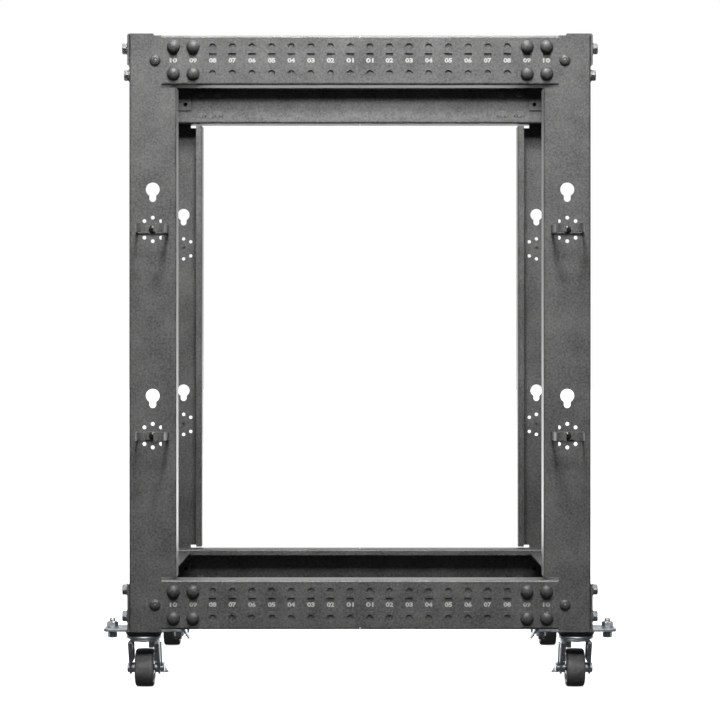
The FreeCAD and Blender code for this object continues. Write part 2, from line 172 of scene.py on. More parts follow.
def textured_powder_coat():
    """Polyester powder coat with a fine texture, sprayed and baked on folded steel sheet.

    Black and satin. The grains catch the light one by one, so the flat sheet looks speckled, and
    a slow unevenness of the sprayed layer makes soft lighter and darker patches. Real grains are
    under 1 mm and too fine to show, so they are drawn 2.8 mm wide."""
    material, tree, place = start_material("textured_powder_coat")
    grain = add_node(tree, "TexNoise", {
        "Vector": place, "Scale": per_metre(2.8), "Detail": 3.0, "Roughness": 0.6})
    patches = add_node(tree, "TexNoise", {
        "Vector": place, "Scale": per_metre(38), "Detail": 2.0, "Roughness": 0.5})
    both = add_node(tree, "Mix", {"Factor": 0.3, "A": grain, "B": patches}, data_type="FLOAT")
    tone = add_node(tree, "ValToRGB", {"Fac": both}, stops=[(0.34, "#262625"), (0.66, "#515150")])
    bump = add_node(tree, "Bump", {"Height": grain, "Distance": 0.25 * MM, "Strength": 0.55})
    return finish_material(material, {
        "Base Color": tone, "Metallic": 0.0, "Roughness": 0.46, "IOR": 1.5, "Normal": bump})


def black_oxide_and_painted_shade():
    """Steel parts, cold formed and black oxide coated: darker and glossier than the sheet, so that
    edges carry small highlights. The fine scuffs of handling break the gloss up. On the casters'
    cups and king pins this black is painted shade: it stands for the shade under the post's foot."""
    material, tree, place = start_material("black_oxide_and_painted_shade")
    scuffs = add_node(tree, "TexNoise", {
        "Vector": place, "Scale": per_metre(1.5), "Detail": 4.0, "Roughness": 0.65})
    bump = add_node(tree, "Bump", {"Height": scuffs, "Distance": 0.05 * MM, "Strength": 0.3})
    rough = add_node(tree, "MapRange", {"Value": scuffs, "To Min": 0.22, "To Max": 0.42})
    return finish_material(material, {
        "Base Color": linear("#232325"), "Metallic": 0.35, "Roughness": rough, "Normal": bump})


def bolt_coat_with_painted_shade():
    """Cold headed bolts with the frame's own black powder coat over them: matt, and a little
    darker than the sheet. The darker tone is painted shade: it takes back the light that the tops
    of the heads catch, so that they blend into the sheet. The coat's grain is drawn coarser than it
    is, as on the sheet."""
    material, tree, place = start_material("bolt_coat_with_painted_shade")
    grain = add_node(tree, "TexNoise", {
        "Vector": place, "Scale": per_metre(2.4), "Detail": 3.0, "Roughness": 0.6})
    # Painted shade: these stops are darker than the sheet's, so that the lit tops of the heads
    # blend in.
    tone = add_node(tree, "ValToRGB", {"Fac": grain}, stops=[(0.35, "#222221"), (0.65, "#3e3e3d")])
    bump = add_node(tree, "Bump", {"Height": grain, "Distance": 0.15 * MM, "Strength": 0.4})
    return finish_material(material, {
        "Base Color": tone, "Metallic": 0.0, "Roughness": 0.55, "IOR": 1.5, "Normal": bump})


def bright_zinc_plate():
    """Pressed steel with bright zinc plating: pale, slightly blue, with faint cloudy patches and
    fine rolling lines that stretch its highlights."""
    material, tree, place = start_material("bright_zinc_plate")
    clouds = add_node(tree, "TexNoise", {
        "Vector": place, "Scale": per_metre(9), "Detail": 3.0, "Roughness": 0.55})
    tone = add_node(tree, "ValToRGB", {"Fac": clouds}, stops=[(0.3, "#8d9196"), (0.7, "#b2b5b8")])
    stretched = add_node(tree, "Mapping", {"Vector": place, "Scale": (1.0, 1.0, 0.08)})
    lines = add_node(tree, "TexNoise", {
        "Vector": stretched, "Scale": per_metre(0.5), "Detail": 2.0})
    rough = add_node(tree, "MapRange", {"Value": clouds, "To Min": 0.4, "To Max": 0.55})
    bump = add_node(tree, "Bump", {"Height": lines, "Distance": 0.03 * MM, "Strength": 0.35})
    return finish_material(material, {
        "Base Color": tone, "Metallic": 1.0, "Roughness": rough, "Normal": bump})


def dulled_zinc_plate():
    """Hexagon bolts, cold headed and zinc plated, then gone dull: grey, with soft highlights on the
    flats and dark undersides."""
    material, tree, place = start_material("dulled_zinc_plate")
    bloom = add_node(tree, "TexNoise", {
        "Vector": place, "Scale": per_metre(2.5), "Detail": 3.0, "Roughness": 0.6})
    tone = add_node(tree, "ValToRGB", {"Fac": bloom}, stops=[(0.3, "#47494b"), (0.7, "#6b6d70")])
    rough = add_node(tree, "MapRange", {"Value": bloom, "To Min": 0.5, "To Max": 0.65})
    return finish_material(material, {"Base Color": tone, "Metallic": 0.4, "Roughness": rough})


def moulded_rubber():
    """Tyre of black thermoplastic rubber, moulded: matt, dark grey where dust and floor wear have
    dulled the tread."""
    material, tree, place = start_material("moulded_rubber")
    wear = add_node(tree, "TexNoise", {
        "Vector": place, "Scale": per_metre(5), "Detail": 4.0, "Roughness": 0.6})
    tone = add_node(tree, "ValToRGB", {"Fac": wear}, stops=[(0.35, "#363636"), (0.7, "#4a4a49")])
    rough = add_node(tree, "MapRange", {"Value": wear, "To Min": 0.55, "To Max": 0.75})
    pores = add_node(tree, "TexNoise", {"Vector": place, "Scale": per_metre(0.6), "Detail": 2.0})
    bump = add_node(tree, "Bump", {"Height": pores, "Distance": 0.05 * MM, "Strength": 0.4})
    return finish_material(material, {
        "Base Color": tone, "Metallic": 0.0, "Roughness": rough, "IOR": 1.5, "Normal": bump})


def moulded_polypropylene():
    """Wheel centre of black polypropylene, injection moulded: a little glossier than the tyre, with
    a faint orange-peel skin."""
    material, tree, place = start_material("moulded_polypropylene")
    skin = add_node(tree, "TexNoise", {"Vector": place, "Scale": per_metre(1.2), "Detail": 1.0})
    bump = add_node(tree, "Bump", {"Height": skin, "Distance": 0.04 * MM, "Strength": 0.3})
    return finish_material(material, {
        "Base Color": linear("#1d1d1e"), "Metallic": 0.0, "Roughness": 0.38, "IOR": 1.49,
        "Normal": bump})


def white_pad_print():
    """Ink that is pad printed on the splices: an aged white, flat and matt, and uneven where the
    coat's texture shows through it."""
    material, tree, place = start_material("white_pad_print")
    speckle = add_node(tree, "TexNoise", {"Vector": place, "Scale": per_metre(0.8), "Detail": 2.0})
    tone = add_node(tree, "ValToRGB", {"Fac": speckle}, stops=[(0.25, "#757573"), (0.5, "#92928f")])
    return finish_material(material, {
        "Base Color": tone, "Metallic": 0.0, "Roughness": 0.6, "IOR": 1.5})


def lit_acrylic():
    """Opal acrylic table, lit from below: white to its far edge, with only a pale shadow on it."""
    return finish_material(start_material("lit_acrylic")[0], {
        "Base Color": linear("#f2f2f2"), "Roughness": 0.9, "Emission Color": linear("#ffffff"),
        "Emission Strength": 0.78})


COAT = textured_powder_coat()
BLACK_OXIDE_AND_SHADE = black_oxide_and_painted_shade()
BOLT_COAT_AND_SHADE = bolt_coat_with_painted_shade()
ZINC = bright_zinc_plate()
DULL_ZINC = dulled_zinc_plate()
RUBBER = moulded_rubber()
PLASTIC = moulded_polypropylene()
PRINT = white_pad_print()


# ---- meshes ----

def in_scene(name, data):
    thing = bpy.data.objects.new(name, data)
    bpy.context.scene.collection.objects.link(thing)
    return thing


def mesh_as_seen(thing):
    """Mesh of an object with its modifiers applied."""
    bpy.context.view_layer.update()
    seen = thing.evaluated_get(bpy.context.evaluated_depsgraph_get())
    return bpy.data.meshes.new_from_object(seen)


def bake_modifiers(thing):
    made = mesh_as_seen(thing)
    thing.modifiers.clear()
    thing.data = made


def weigh_normals(piece):
    """Flat faces keep their own direction, and only the narrow faces of a bend turn smoothly."""
    weighing = piece.modifiers.new("weighed_normals", "WEIGHTED_NORMAL")
    weighing.keep_sharp = True
    bake_modifiers(piece)


def finish_piece(name, shape, body, material, nodes=(), smooth_below=35.0):
    """Turns a bmesh in millimetres into a piece that rides on a body and stands for CAD nodes."""
    bmesh.ops.recalc_face_normals(shape, faces=shape.faces)
    mesh = bpy.data.meshes.new(name)
    shape.to_mesh(mesh)
    shape.free()
    mesh.transform(Matrix.Scale(MM, 4))
    mesh.polygons.foreach_set("use_smooth", [True] * len(mesh.polygons))
    mesh.set_sharp_from_angle(angle=math.radians(smooth_below))
    mesh.materials.append(material)
    piece = in_scene(name, mesh)
    weigh_normals(piece)
    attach(piece, body)
    if nodes:
        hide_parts(*nodes)
    return piece


def joined(shapes):
    """Several bmeshes as one."""
    whole = bmesh.new()
    for shape in shapes:
        mesh = bpy.data.meshes.new("part")
        shape.to_mesh(mesh)
        shape.free()
        whole.from_mesh(mesh)
        bpy.data.meshes.remove(mesh)
    return whole


def repeated(make_shape, spots):
    """The same shape at several places. A spot is a matrix in millimetres."""
    return joined([placed(make_shape(), spot) for spot in spots])


def placed(shape, spot):
    """Puts a shape where a matrix in millimetres says."""
    bmesh.ops.transform(shape, matrix=spot, verts=shape.verts)
    return shape


def standing(shape, x=0.0, y=0.0, z=0.0):
    """Shifts a shape along the rack's own directions."""
    bmesh.ops.translate(shape, verts=shape.verts, vec=(x, y, z))
    return shape


def facing(point, outward):
    """Matrix that puts a shape's origin at a point and its Z along a direction."""
    turn = Vector(outward).to_track_quat("Z", "Y").to_matrix().to_4x4()
    return Matrix.Translation(Vector(point)) @ turn


def rings_to_shape(rings, cap_ends=True):
    """Skins rings of points, each as long as the others, into a closed surface."""
    shape = bmesh.new()
    made = [[shape.verts.new(point) for point in ring] for ring in rings]
    for near, far in zip(made, made[1:]):
        for i in range(len(near)):
            after = (i + 1) % len(near)
            shape.faces.new((near[i], near[after], far[after], far[i]))
    if cap_ends:
        shape.faces.new(made[0][::-1])
        shape.faces.new(made[-1])
    return shape


def circle(radius, height, sides):
    """Points round the Z axis."""
    angles = [2 * math.pi * i / sides for i in range(sides)]
    return [(radius * math.cos(angle), radius * math.sin(angle), height) for angle in angles]


def turned(profile, segments=40):
    """Solid turned about Z from points (radius, height); the profile runs from axis to axis."""
    shape = bmesh.new()
    rings = []
    for radius, height in profile:
        points = circle(radius, height, segments) if radius > 0 else [(0, 0, height)]
        rings.append([shape.verts.new(point) for point in points])
    for near, far in zip(rings, rings[1:]):
        for i in range(segments):
            after = (i + 1) % segments
            if len(near) == 1:
                shape.faces.new((near[0], far[after], far[i]))
            elif len(far) == 1:
                shape.faces.new((near[i], near[after], far[0]))
            else:
                shape.faces.new((near[i], near[after], far[after], far[i]))
    return shape


def hollow_turned(profile, segments=40):
    """Ring-shaped solid turned about Z from a closed outline of points (radius, height)."""
    shape = bmesh.new()
    made = [[shape.verts.new(point) for point in circle(radius, height, segments)]
            for radius, height in profile]
    for near, far in zip(made, made[1:] + made[:1]):
        for i in range(segments):
            after = (i + 1) % segments
            shape.faces.new((near[i], near[after], far[after], far[i]))
    return shape


def thickened(shape, faces, thickness):
    """Gives flat faces a thickness along Z."""
    raised = bmesh.ops.extrude_face_region(shape, geom=faces)
    lifted = [v for v in raised["geom"] if isinstance(v, bmesh.types.BMVert)]
    bmesh.ops.translate(shape, verts=lifted, vec=(0, 0, thickness))
    return shape


def plate_from_outline(outline, thickness, edge=0.0):
    """Flat plate over an outline in the XY plane, with rounded rims where edge is given."""
    shape = bmesh.new()
    base = shape.faces.new([shape.verts.new((u, v, 0)) for u, v in outline])
    thickened(shape, [base], thickness)
    bmesh.ops.recalc_face_normals(shape, faces=shape.faces)
    if edge > 0:
        rims = [e for e in shape.edges if abs(e.verts[0].co.z - e.verts[1].co.z) < 1e-6]
        bmesh.ops.bevel(shape, geom=rims, offset=edge, segments=2, profile=0.5, affect="EDGES")
    return shape


# ---- punched sheet ----

def cad_copy(node):
    """A CAD node's surface with its doubled corners joined, in millimetres."""
    shape = bmesh.new()
    shape.from_mesh(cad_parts[node].data)
    bmesh.ops.remove_doubles(shape, verts=shape.verts, dist=0.001 * MM)
    return placed(shape, Matrix.Scale(1 / MM, 4))


def round_punch(centre, axis, width):
    """Cutter of one round hole. Its flats touch the true round, so no corner is left inside."""
    radius = width / 2 / math.cos(math.pi / PUNCH_SIDES) * PUNCH_EASE
    punch = bmesh.new()
    bmesh.ops.create_cone(punch, cap_ends=True, segments=PUNCH_SIDES, radius1=radius,
                          radius2=radius, depth=2 * PUNCH_REACH)
    return placed(punch, facing(centre, axis))


def punched(shape, holes):
    """The sheet with holes cut truly round. A hole is (centre, axis, width)."""
    sheet = in_scene("sheet", bpy.data.meshes.new("sheet"))
    tool = in_scene("punches", bpy.data.meshes.new("punches"))
    shape.to_mesh(sheet.data)
    shape.free()
    punches = joined([round_punch(*hole) for hole in holes])
    punches.to_mesh(tool.data)
    punches.free()
    cutting = sheet.modifiers.new("punch", "BOOLEAN")
    cutting.operation = "DIFFERENCE"
    cutting.solver = "EXACT"
    cutting.object = tool
    bake_modifiers(sheet)
    result = bmesh.new()
    result.from_mesh(sheet.data)
    for made in (sheet, tool):
        bpy.data.objects.remove(made)
    bmesh.ops.remove_doubles(result, verts=result.verts, dist=WELD)
    bmesh.ops.dissolve_degenerate(result, edges=result.edges, dist=WELD)
    return result


def row_holes(x_sides, y_side, level_name, columns):
    """Adjusting holes of both rows of a beam or a splice."""
    rows = [beam_levels[level_name] + row * ROW_OFFSET for row in (-1, 1)]
    return [((x_side * x, y_side * side_face, z), (0, 1, 0), ADJUST_HOLE)
            for x in columns for x_side in x_sides for z in rows]


def corner_bolt_levels(level_name):
    towards_middle = 1 if level_name == "bottom" else -1
    middle = beam_levels[level_name] + towards_middle * CORNER_BOLT_SHIFT
    return middle - ROW_OFFSET, middle + ROW_OFFSET


def corner_holes(x_side, y_side, level_name, rows=(0, 1), side_screw=True):
    holes = []
    for row in rows:
        z = corner_bolt_levels(level_name)[row]
        y = y_side * (side_face - CORNER_BOLT_INSET)
        holes.append(((x_side * mounting_face, y, z), (1, 0, 0), CORNER_BOLT_HOLE))
    if side_screw:
        x = x_side * (mounting_face - SIDE_SCREW_INSET)
        holes.append(((x, y_side * side_face, beam_levels[level_name]), (0, 1, 0), SIDE_SCREW_HOLE))
    return holes


def post_holes(x_side, y_side):
    x = x_side * post_middle
    y = y_side * side_face
    holes = corner_holes(x_side, y_side, "bottom") + corner_holes(x_side, y_side, "top")
    for level in ring_levels.values():
        holes.append(((x, y, level), (0, 1, 0), RING_SCREW_HOLE))
        round_end = level + KEYHOLE_RISE
        slot_end = round_end + KEYHOLE / 2 - KEYHOLE_LENGTH + KEYHOLE_SLOT / 2
        holes.append(((x, y, round_end), (0, 1, 0), KEYHOLE))
        holes.append(((x, y, slot_end), (0, 1, 0), KEYHOLE_SLOT))
        for n in range(PATTERN_PLACES):
            if n % (PATTERN_PLACES // 2) != 0:
                angle = 2 * math.pi * n / PATTERN_PLACES
                out, up = PATTERN_RADIUS * math.cos(angle), PATTERN_RADIUS * math.sin(angle)
                holes.append(((x + out, y, level + up), (0, 1, 0), PATTERN_HOLE))
    return holes


def plate_bolt_hole(x_side, y_side):
    """Where the inner bolt of a caster's mounting plate goes up through the sheets above it."""
    return (x_side * plate_bolts[0], y_side * swivel_y, mount_high.z), (0, 0, 1), PLATE_BOLT_HOLE


def coat_sheet(node, holes):
    shape = punched(cad_copy(node), holes)
    finish_piece(node + "_punched", shape, "frame", COAT, [node])


def make_sheets():
    for corner, x_side, y_side in CORNERS:
        coat_sheet("post_" + corner, post_holes(x_side, y_side))
        for row in ("top", "bottom"):
            holes = row_holes([x_side], y_side, row, column_places)
            holes += corner_holes(x_side, y_side, row)
            if row == "bottom":
                holes.append(plate_bolt_hole(x_side, y_side))
            coat_sheet(f"{row}_beam_{corner}", holes)
    for side_name, y_side in (("left", 1), ("right", -1)):
        for row in ("top", "bottom"):
            holes = row_holes((-1, 1), y_side, row, bolted_columns)
            if row == "bottom":
                holes += [plate_bolt_hole(-1, y_side), plate_bolt_hole(1, y_side)]
            coat_sheet(f"{row}_splice_{side_name}", holes)
    for end_name, x_side in (("front", -1), ("rear", 1)):
        for row, bolt_rows in (("top", [1]), ("bottom", [0, 1])):
            holes = []
            for y_side in (-1, 1):
                holes += corner_holes(x_side, y_side, row, bolt_rows, side_screw=False)
            coat_sheet(f"{row}_cross_beam_{end_name}", holes)


# ---- cable rings ----

RING_FRONT = 35.0
RING_MOUTH = 10.4
RING_CORNER = 11.0
RING_STRIP = 2.0
RING_FOOT_BEND = 3.0
BEND_STEPS = 8


def bent_path(corners):
    """Runs and arcs through corners given as (u, v, bend radius)."""
    points = [corners[0][:2]]
    for before, here, after in zip(corners, corners[1:], corners[2:]):
        u, v, radius = here
        run_in = Vector((u - before[0], v - before[1])).normalized()
        run_out = Vector((after[0] - u, after[1] - v)).normalized()
        turn = run_in.angle_signed(run_out)
        cut = radius * math.tan(abs(turn) / 2)
        start = Vector((u, v)) - run_in * cut
        end = Vector((u, v)) + run_out * cut
        middle = Vector((u, v)) + (run_out - run_in).normalized() * radius / math.cos(turn / 2)
        first = start - middle
        sweep = first.angle_signed(end - middle)
        for i in range(BEND_STEPS + 1):
            arm = first.copy()
            arm.rotate(Matrix.Rotation(-sweep * i / BEND_STEPS, 2))
            points.append(tuple(middle + arm))
    points.append(corners[-1][:2])
    return points


def thick_strip(path, thickness):
    """Closed outline of a strip whose outer face follows the path, with the metal on its left."""
    inner = []
    for i, (u, v) in enumerate(path):
        along = (Vector(path[min(i + 1, len(path) - 1)]) - Vector(path[max(i - 1, 0)])).normalized()
        inner.append((u - along.y * thickness, v + along.x * thickness))
    return list(path) + inner[::-1]


def make_rings():
    for row in ring_levels:
        for corner, _, y_side in CORNERS:
            node = row + "_cable_ring_" + corner
            low, high = box_mm(node)
            half = (high.x - low.x) / 2
            reach = high.y - low.y
            path = bent_path([
                (-RING_MOUTH / 2, reach, 0),
                (-RING_FRONT / 2, reach, RING_CORNER),
                (-half, 0, RING_FOOT_BEND),
                (half, 0, RING_FOOT_BEND),
                (RING_FRONT / 2, reach, RING_CORNER),
                (RING_MOUTH / 2, reach, 0),
            ])
            shape = plate_from_outline(thick_strip(path, RING_STRIP), high.z - low.z, edge=0.35)
            middle_x = (low.x + high.x) / 2
            spot = Matrix.Translation((middle_x, y_side * side_face, low.z))
            placed(shape, spot @ Matrix.Diagonal((1, y_side, 1, 1)))
            finish_piece(node + "_bent", shape, "frame", COAT, [node])


# ---- fasteners ----

HEX_SIDES = 36
BOLT_RADIUS = 3.9
WASHER_BORE = 4.3
NUT_BORE = 4.0
THREAD_PITCH = 1.25
DOME_RADIUS = 8.5
DOME_HEIGHT = 6.6
NUT_FLATS = 13.0
NUT_HEIGHT = 6.5
PLATE_HEAD_FLATS = 11.0
FLAT_WASHER = 1.4
SPRING_WASHER = 1.6
SPLICE_SHEET = 2.0
BUTTON_RADIUS = 7.2
BUTTON_HEIGHT = 3.8
BUTTON_SOCKET = 6.6
BUTTON_RIM = 0.5
SOCKET_HIGHLIGHT_PIN = 2.1
HEX_WASHER = 1.5
HEX_HEIGHT = 5.6
CROSS_BEAM_SHEET = 2.5


def hexagon(across_flats, limit, height):
    """Points round a hexagon, drawn in to a circle where its corners reach further than a limit."""
    points = []
    for i in range(HEX_SIDES):
        angle = 2 * math.pi * i / HEX_SIDES
        sector = (angle + math.pi / 6) % (math.pi / 3) - math.pi / 6
        radius = min(across_flats / 2 / math.cos(math.pi / 6 - abs(sector)), limit)
        points.append((radius * math.cos(angle), radius * math.sin(angle), height))
    return points


def chamfered_hex(across_flats, height, chamfer=0.9, both_ends=False, bore=0.0):
    """Hexagon bar with its corners turned off at the top, and at the foot too for a nut."""
    corner = across_flats / math.sqrt(3)
    cut = across_flats / 2 * 0.98
    ends = [(cut, 0.0), (corner, chamfer)] if both_ends else [(corner, 0.0)]
    ends += [(corner, height - chamfer), (cut, height)]
    rings = [hexagon(across_flats, limit, z) for limit, z in ends]
    if bore > 0:
        top, foot = circle(bore, height, HEX_SIDES), circle(bore, 0.0, HEX_SIDES)
        return rings_to_shape([foot] + rings + [top, foot], cap_ends=False)
    return rings_to_shape(rings)


def washer(outer, inner, height):
    rim = height * 0.2
    return hollow_turned([
        (inner, 0), (outer - rim, 0), (outer, rim),
        (outer, height - rim), (outer - rim, height), (inner, height),
    ], segments=HEX_SIDES)


def threaded_end(radius, length):
    """End of a bolt with turned grooves in place of its thread, and a chamfered tip."""
    profile = [(0.0, 0.0)]
    height = 0.0
    while height < length - 1.2:
        profile.append((radius, height))
        profile.append((radius, height + THREAD_PITCH * 0.35))
        profile.append((radius * 0.9, height + THREAD_PITCH * 0.7))
        height += THREAD_PITCH
    profile += [(radius, length - 0.9), (radius * 0.8, length), (0.0, length)]
    return turned(profile, segments=24)


def dome_head(radius, height, rim=0.9):
    """Smooth mushroom head of a carriage bolt, domed from its rim up."""
    profile = [(0.0, 0.0), (radius, 0.0), (radius, rim)]
    steps = 10
    for i in range(1, steps):
        angle = math.pi / 2 * i / steps
        profile.append((radius * math.cos(angle), rim + (height - rim) * math.sin(angle)))
    profile.append((0.0, height))
    return turned(profile)


def button_head(radius, height, socket, depth):
    """Button head with a hexagon socket."""
    crown_edge = math.radians(72)
    rings = [circle(radius, 0.0, HEX_SIDES), circle(radius, BUTTON_RIM, HEX_SIDES)]
    steps = 6
    for i in range(1, steps + 1):
        angle = crown_edge * i / steps
        rise = (height - BUTTON_RIM) * math.sin(angle) / math.sin(crown_edge)
        rings.append(circle(radius * math.cos(angle), BUTTON_RIM + rise, HEX_SIDES))
    rings += [hexagon(socket, radius * 0.6, z) for z in (height, height - depth)]
    return rings_to_shape(rings)


def hex_bolt():
    return joined([
        washer(8.0, BOLT_RADIUS, HEX_WASHER),
        standing(chamfered_hex(NUT_FLATS, HEX_HEIGHT), z=HEX_WASHER),
    ])


def nut_and_end(flats, height, end):
    """Nut on a washer, with the end of its bolt standing out of it."""
    return joined([
        washer(flats * 0.6, WASHER_BORE, FLAT_WASHER),
        standing(chamfered_hex(flats, height, both_ends=True, bore=NUT_BORE), z=FLAT_WASHER),
        threaded_end(BOLT_RADIUS, FLAT_WASHER + height + end),
    ])


def head_on_washers(flats, height):
    """Hexagon head on a flat washer and a spring washer."""
    return joined([
        washer(flats * 0.6, WASHER_BORE, FLAT_WASHER),
        standing(washer(flats * 0.52, WASHER_BORE, SPRING_WASHER), z=FLAT_WASHER),
        standing(chamfered_hex(flats, height), z=FLAT_WASHER + SPRING_WASHER),
    ])


def coated(name, make_shape, spots, finish=BOLT_COAT_AND_SHADE):
    return finish_piece(name, repeated(make_shape, spots), "frame", finish)


def plated(name, make_shape, spots, finish=ZINC):
    return finish_piece(name, repeated(make_shape, spots), "frame", finish)


def side_spots(x, y, levels, outward=1):
    """Spots on both sides of both ends of the rack, facing out of the rack or into it."""
    return [facing((x_side * x, y_side * y, z), (0, y_side * outward, 0))
            for _, x_side, y_side in CORNERS for z in levels]


def make_depth_bolts():
    """Carriage bolts that hold the beam halves to the splices, with their nuts inside."""
    rows = [middle + row * ROW_OFFSET for middle in beam_levels.values() for row in (-1, 1)]
    heads = []
    nuts = []
    for x in bolted_columns:
        heads += side_spots(x, side_face, rows)
        nuts += side_spots(x, splice_face - SPLICE_SHEET, rows, -1)
    coated("depth_bolt_heads", lambda: dome_head(DOME_RADIUS, DOME_HEIGHT), heads)
    coated("depth_bolt_nuts", lambda: nut_and_end(NUT_FLATS, NUT_HEIGHT, end=3.6), nuts, COAT)


def make_side_screws():
    """Button screws beside the beams, each with a bright pin in its socket. The pin is a painted
    highlight: it stands for the light caught in the socket.
    """
    spots = side_spots(mounting_face - SIDE_SCREW_INSET, side_face, beam_levels.values())
    coated("side_screws", lambda: button_head(BUTTON_RADIUS, BUTTON_HEIGHT, BUTTON_SOCKET, 2.4),
           spots)
    # Painted highlight: a bright zinc pin stands for the light caught in each socket.
    plated("side_screw_highlight_pins", lambda: dome_head(SOCKET_HIGHLIGHT_PIN, BUTTON_HEIGHT, rim=2.6),
           spots, DULL_ZINC)


def make_ring_screws():
    spots = side_spots(post_middle, side_face + RING_STRIP, ring_levels.values())
    coated("ring_screws", lambda: button_head(4.8, 2.8, socket=3.2, depth=1.8), spots, BLACK_OXIDE_AND_SHADE)


def make_corner_bolts():
    spots = []
    for _, x_side, y_side in CORNERS:
        y = y_side * (side_face - CORNER_BOLT_INSET)
        for level_name in beam_levels:
            for row, z in enumerate(corner_bolt_levels(level_name)):
                clad = level_name == "bottom" or row == 1
                face = mounting_face + (CROSS_BEAM_SHEET if clad else 0.0)
                spots.append(facing((x_side * face, y, z), (x_side, 0, 0)))
    plated("corner_bolts", hex_bolt, spots, DULL_ZINC)


def make_plate_bolts():
    """Bolts of the casters' mounting plates. The outer ones have their nuts on top, beside the
    frame, and the inner ones have theirs under the plate."""
    inner, outer = plate_bolts
    under_plate = mount_high.z - MOUNT_SHEET
    kinds = {
        "outer_heads": (outer, under_plate, -1,
                        lambda: head_on_washers(PLATE_HEAD_FLATS, height=6.3)),
        "outer_nuts": (outer, mount_high.z, 1,
                       lambda: nut_and_end(NUT_FLATS, NUT_HEIGHT, end=4.4)),
        "inner_heads": (inner, bottom_splice_floor + SPLICE_SHEET, 1,
                        lambda: head_on_washers(PLATE_HEAD_FLATS, height=5.3)),
        "inner_nuts": (inner, under_plate, -1,
                       lambda: nut_and_end(PLATE_HEAD_FLATS, NUT_HEIGHT, end=3.9)),
    }
    for kind, (x, z, up, make_shape) in kinds.items():
        spots = [facing((x_side * x, y_side * swivel_y, z), (0, 0, up))
                 for _, x_side, y_side in CORNERS]
        plated("plate_bolt_" + kind, make_shape, spots)


# ---- printed depth numbers ----

NUMBER_WIDTH = 9.7
NUMBER_HEIGHT = 6.0
INK = 0.12


def number_shape(value):
    """Two digits as a thin sheet of ink, in the XY plane and centred."""
    curve = bpy.data.curves.new("digits", "FONT")
    curve.body = f"{value:02d}"
    curve.resolution_u = 3
    curve.offset = 0.045
    writing = in_scene("digits", curve)
    mesh = mesh_as_seen(writing)
    bpy.data.objects.remove(writing)
    shape = bmesh.new()
    shape.from_mesh(mesh)
    bpy.data.meshes.remove(mesh)
    xs = sorted(v.co.x for v in shape.verts)
    ys = sorted(v.co.y for v in shape.verts)
    width, height = xs[-1] - xs[0], ys[-1] - ys[0]
    scale = Matrix.Diagonal((NUMBER_WIDTH / width, NUMBER_HEIGHT / height, 1, 1))
    centre = Matrix.Translation((-(xs[-1] + xs[0]) / 2, -(ys[-1] + ys[0]) / 2, 0))
    placed(shape, scale @ centre)
    return thickened(shape, list(shape.faces), INK)


def make_numbers():
    shapes = []
    for y_side in (-1, 1):
        upright = Matrix(((-y_side, 0, 0, 0), (0, 0, y_side, 0), (0, 1, 0, 0), (0, 0, 0, 1)))
        for middle in beam_levels.values():
            for n, x in enumerate(column_places):
                for x_side in (-1, 1):
                    shape = number_shape(n + 1)
                    spot = Matrix.Translation((x_side * x, y_side * splice_face, middle))
                    placed(shape, spot @ upright)
                    shapes.append(shape)
    finish_piece("depth_numbers", joined(shapes), "frame", PRINT)


# ---- casters ----
# They are drawn at the rear left corner, where x and y are positive, and mirrored to the others.

MOUNT_SHEET = 3.4
MOUNT_CORNER = 8.0
CUP_RADIUS = 23.0
CUP_FLARE = 4.5
CUP_LOW = 70.0
CROWN_TOP = 69.7
CROWN_RADIUS = 22.5
KING_PIN = 5.0
KING_PIN_HEAD = 8.0
KING_PIN_HEAD_TOP = 62.9
FORK_SHEET = 2.5
FORK_CROWN_LOW = 63.2
FORK_INSIDE = 17.5
FORK_BEND = 7.0
FORK_HALF_TOP = 15.0
FORK_FOOT = 8.5
RIM_SHEET = 1.6
FORK_RIM = 3.6
AXLE_RADIUS = 4.0
AXLE_NUT_FLATS = 12.1
AXLE_SIDES = 32
CUP_SIDES = 56
RACE_RIM = 1.4
LEVER_FACE = 21.0
LEVER_SHEET = 2.0
LEVER_ARM = 30.0
LEVER_HALF = 6.5
LEVER_FALL = 8.0
BLADE_TOP = (20.5, 31.0)
SPRING_BOX_INNER = 6.8
SPRING_BOX_DROP = 9.5
SPRING_BOX_LENGTH = 16.0
PEDAL_REACH = 5.0
PEDAL_HALF = 8.0


def to_corner(shape, x_side, y_side):
    return placed(shape, Matrix.Diagonal((x_side, y_side, 1, 1)))


def along_axle(shape, offset=0.0, outward=1):
    """Puts a shape turned about Z on the axle, at an offset from the wheel's middle."""
    spot = facing((caster_x + offset, axle_y, axle_z), (outward, 0, 0))
    return placed(shape, spot)


def rounded_corners(low, high, corner, steps=6):
    """Outline of a rectangle with round corners, from its lowest and highest (x, y)."""
    points = []
    corners = ((high[0], high[1]), (low[0], high[1]), (low[0], low[1]), (high[0], low[1]))
    for turn, (u, v) in enumerate(corners):
        middle_u = u - corner if u == high[0] else u + corner
        middle_v = v - corner if v == high[1] else v + corner
        for i in range(steps + 1):
            angle = math.pi / 2 * (turn + i / steps)
            points.append((middle_u + corner * math.cos(angle),
                           middle_v + corner * math.sin(angle)))
    return points


def mounting_plate():
    """Pressed plate. It ends behind the post's web, so the web's foot hides its edge."""
    outline = rounded_corners((mount_low.x, mount_low.y), (mount_high.x, side_face - SHEET),
                              MOUNT_CORNER)
    plate = plate_from_outline(outline, MOUNT_SHEET, edge=0.5)
    standing(plate, z=mount_high.z - MOUNT_SHEET)
    return punched(plate, [((x, swivel_y, mount_high.z), (0, 0, 1), PLATE_BOLT_HOLE)
                           for x in plate_bolts])


